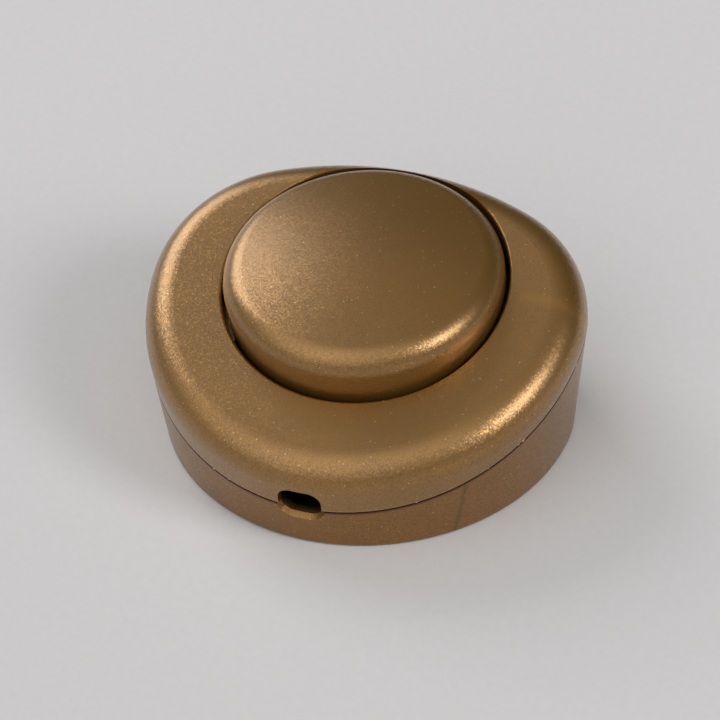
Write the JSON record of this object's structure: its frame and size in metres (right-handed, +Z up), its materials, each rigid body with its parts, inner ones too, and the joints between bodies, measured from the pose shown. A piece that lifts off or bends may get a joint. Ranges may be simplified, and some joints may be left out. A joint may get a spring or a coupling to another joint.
{
  "type": "foot switch",
  "caption": "In-line foot switch with a wedge-shaped two-part case, a large domed press button and a turning ratchet contact inside.",
  "frame": {"origin": "on the floor under the middle of the case", "axes": "+X across the case, -Y towards the low end with the front cord entry, +Z up"},
  "size_m": [0.0626, 0.0532, 0.0288],
  "materials": {
    "case_plastic": "gold-bronze pigmented plastic with a fine satin grain",
    "base_plastic": "gold-bronze pigmented plastic, a little browner",
    "inner_plastic": "natural moulded plastic",
    "spring_steel": "bright drawn wire",
    "screw_steel": "zinc plated",
    "contact_brass": "stamped brass",
    "contact_silver": "silver alloy"
  },
  "bodies": {
    "case": {"base_shell": "base_plastic", "top_cover": "case_plastic", "rotor_pin": "spring_steel", "detent_spring": "spring_steel", "mechanism_carrier": "inner_plastic", "carrier_screws": "screw_steel", "live_in_contact": "contact_brass", "live_out_contact": "contact_brass", "contact_tips": "contact_silver", "live_terminals": "contact_brass", "live_terminal_screws": "screw_steel", "neutral_link": "contact_brass", "neutral_terminal_screws": "screw_steel", "front_cord_clamp": "inner_plastic", "rear_cord_clamp": "inner_plastic", "cord_clamp_screws": "screw_steel", "housing_screws": "screw_steel"},
    "button": {"foot_button": "case_plastic", "push_crown": "inner_plastic", "return_spring": "spring_steel"},
    "rotor": {"ratchet_rotor": "inner_plastic", "contact_star": "contact_brass"}
  },
  "joints": [
    {"name": "button_press", "type": "slide", "parent": "case", "child": "button", "axis": [0, 0.2419, -0.9703], "range_m": [0, 0.003], "stiffness_N_per_m": 1500, "springref_m": -0.004, "deforming": ["return_spring"]},
    {"name": "rotor_turn", "type": "hinge", "parent": "case", "child": "rotor", "pos_m": [0, 0.00428, 0.02265], "axis": [0, -0.2419, 0.9703], "range_deg": [0, 30]}
  ],
  "couplings": [
    {"joint": "rotor_turn", "follows": "button_press", "rad_per_m": 174.53}
  ]
}
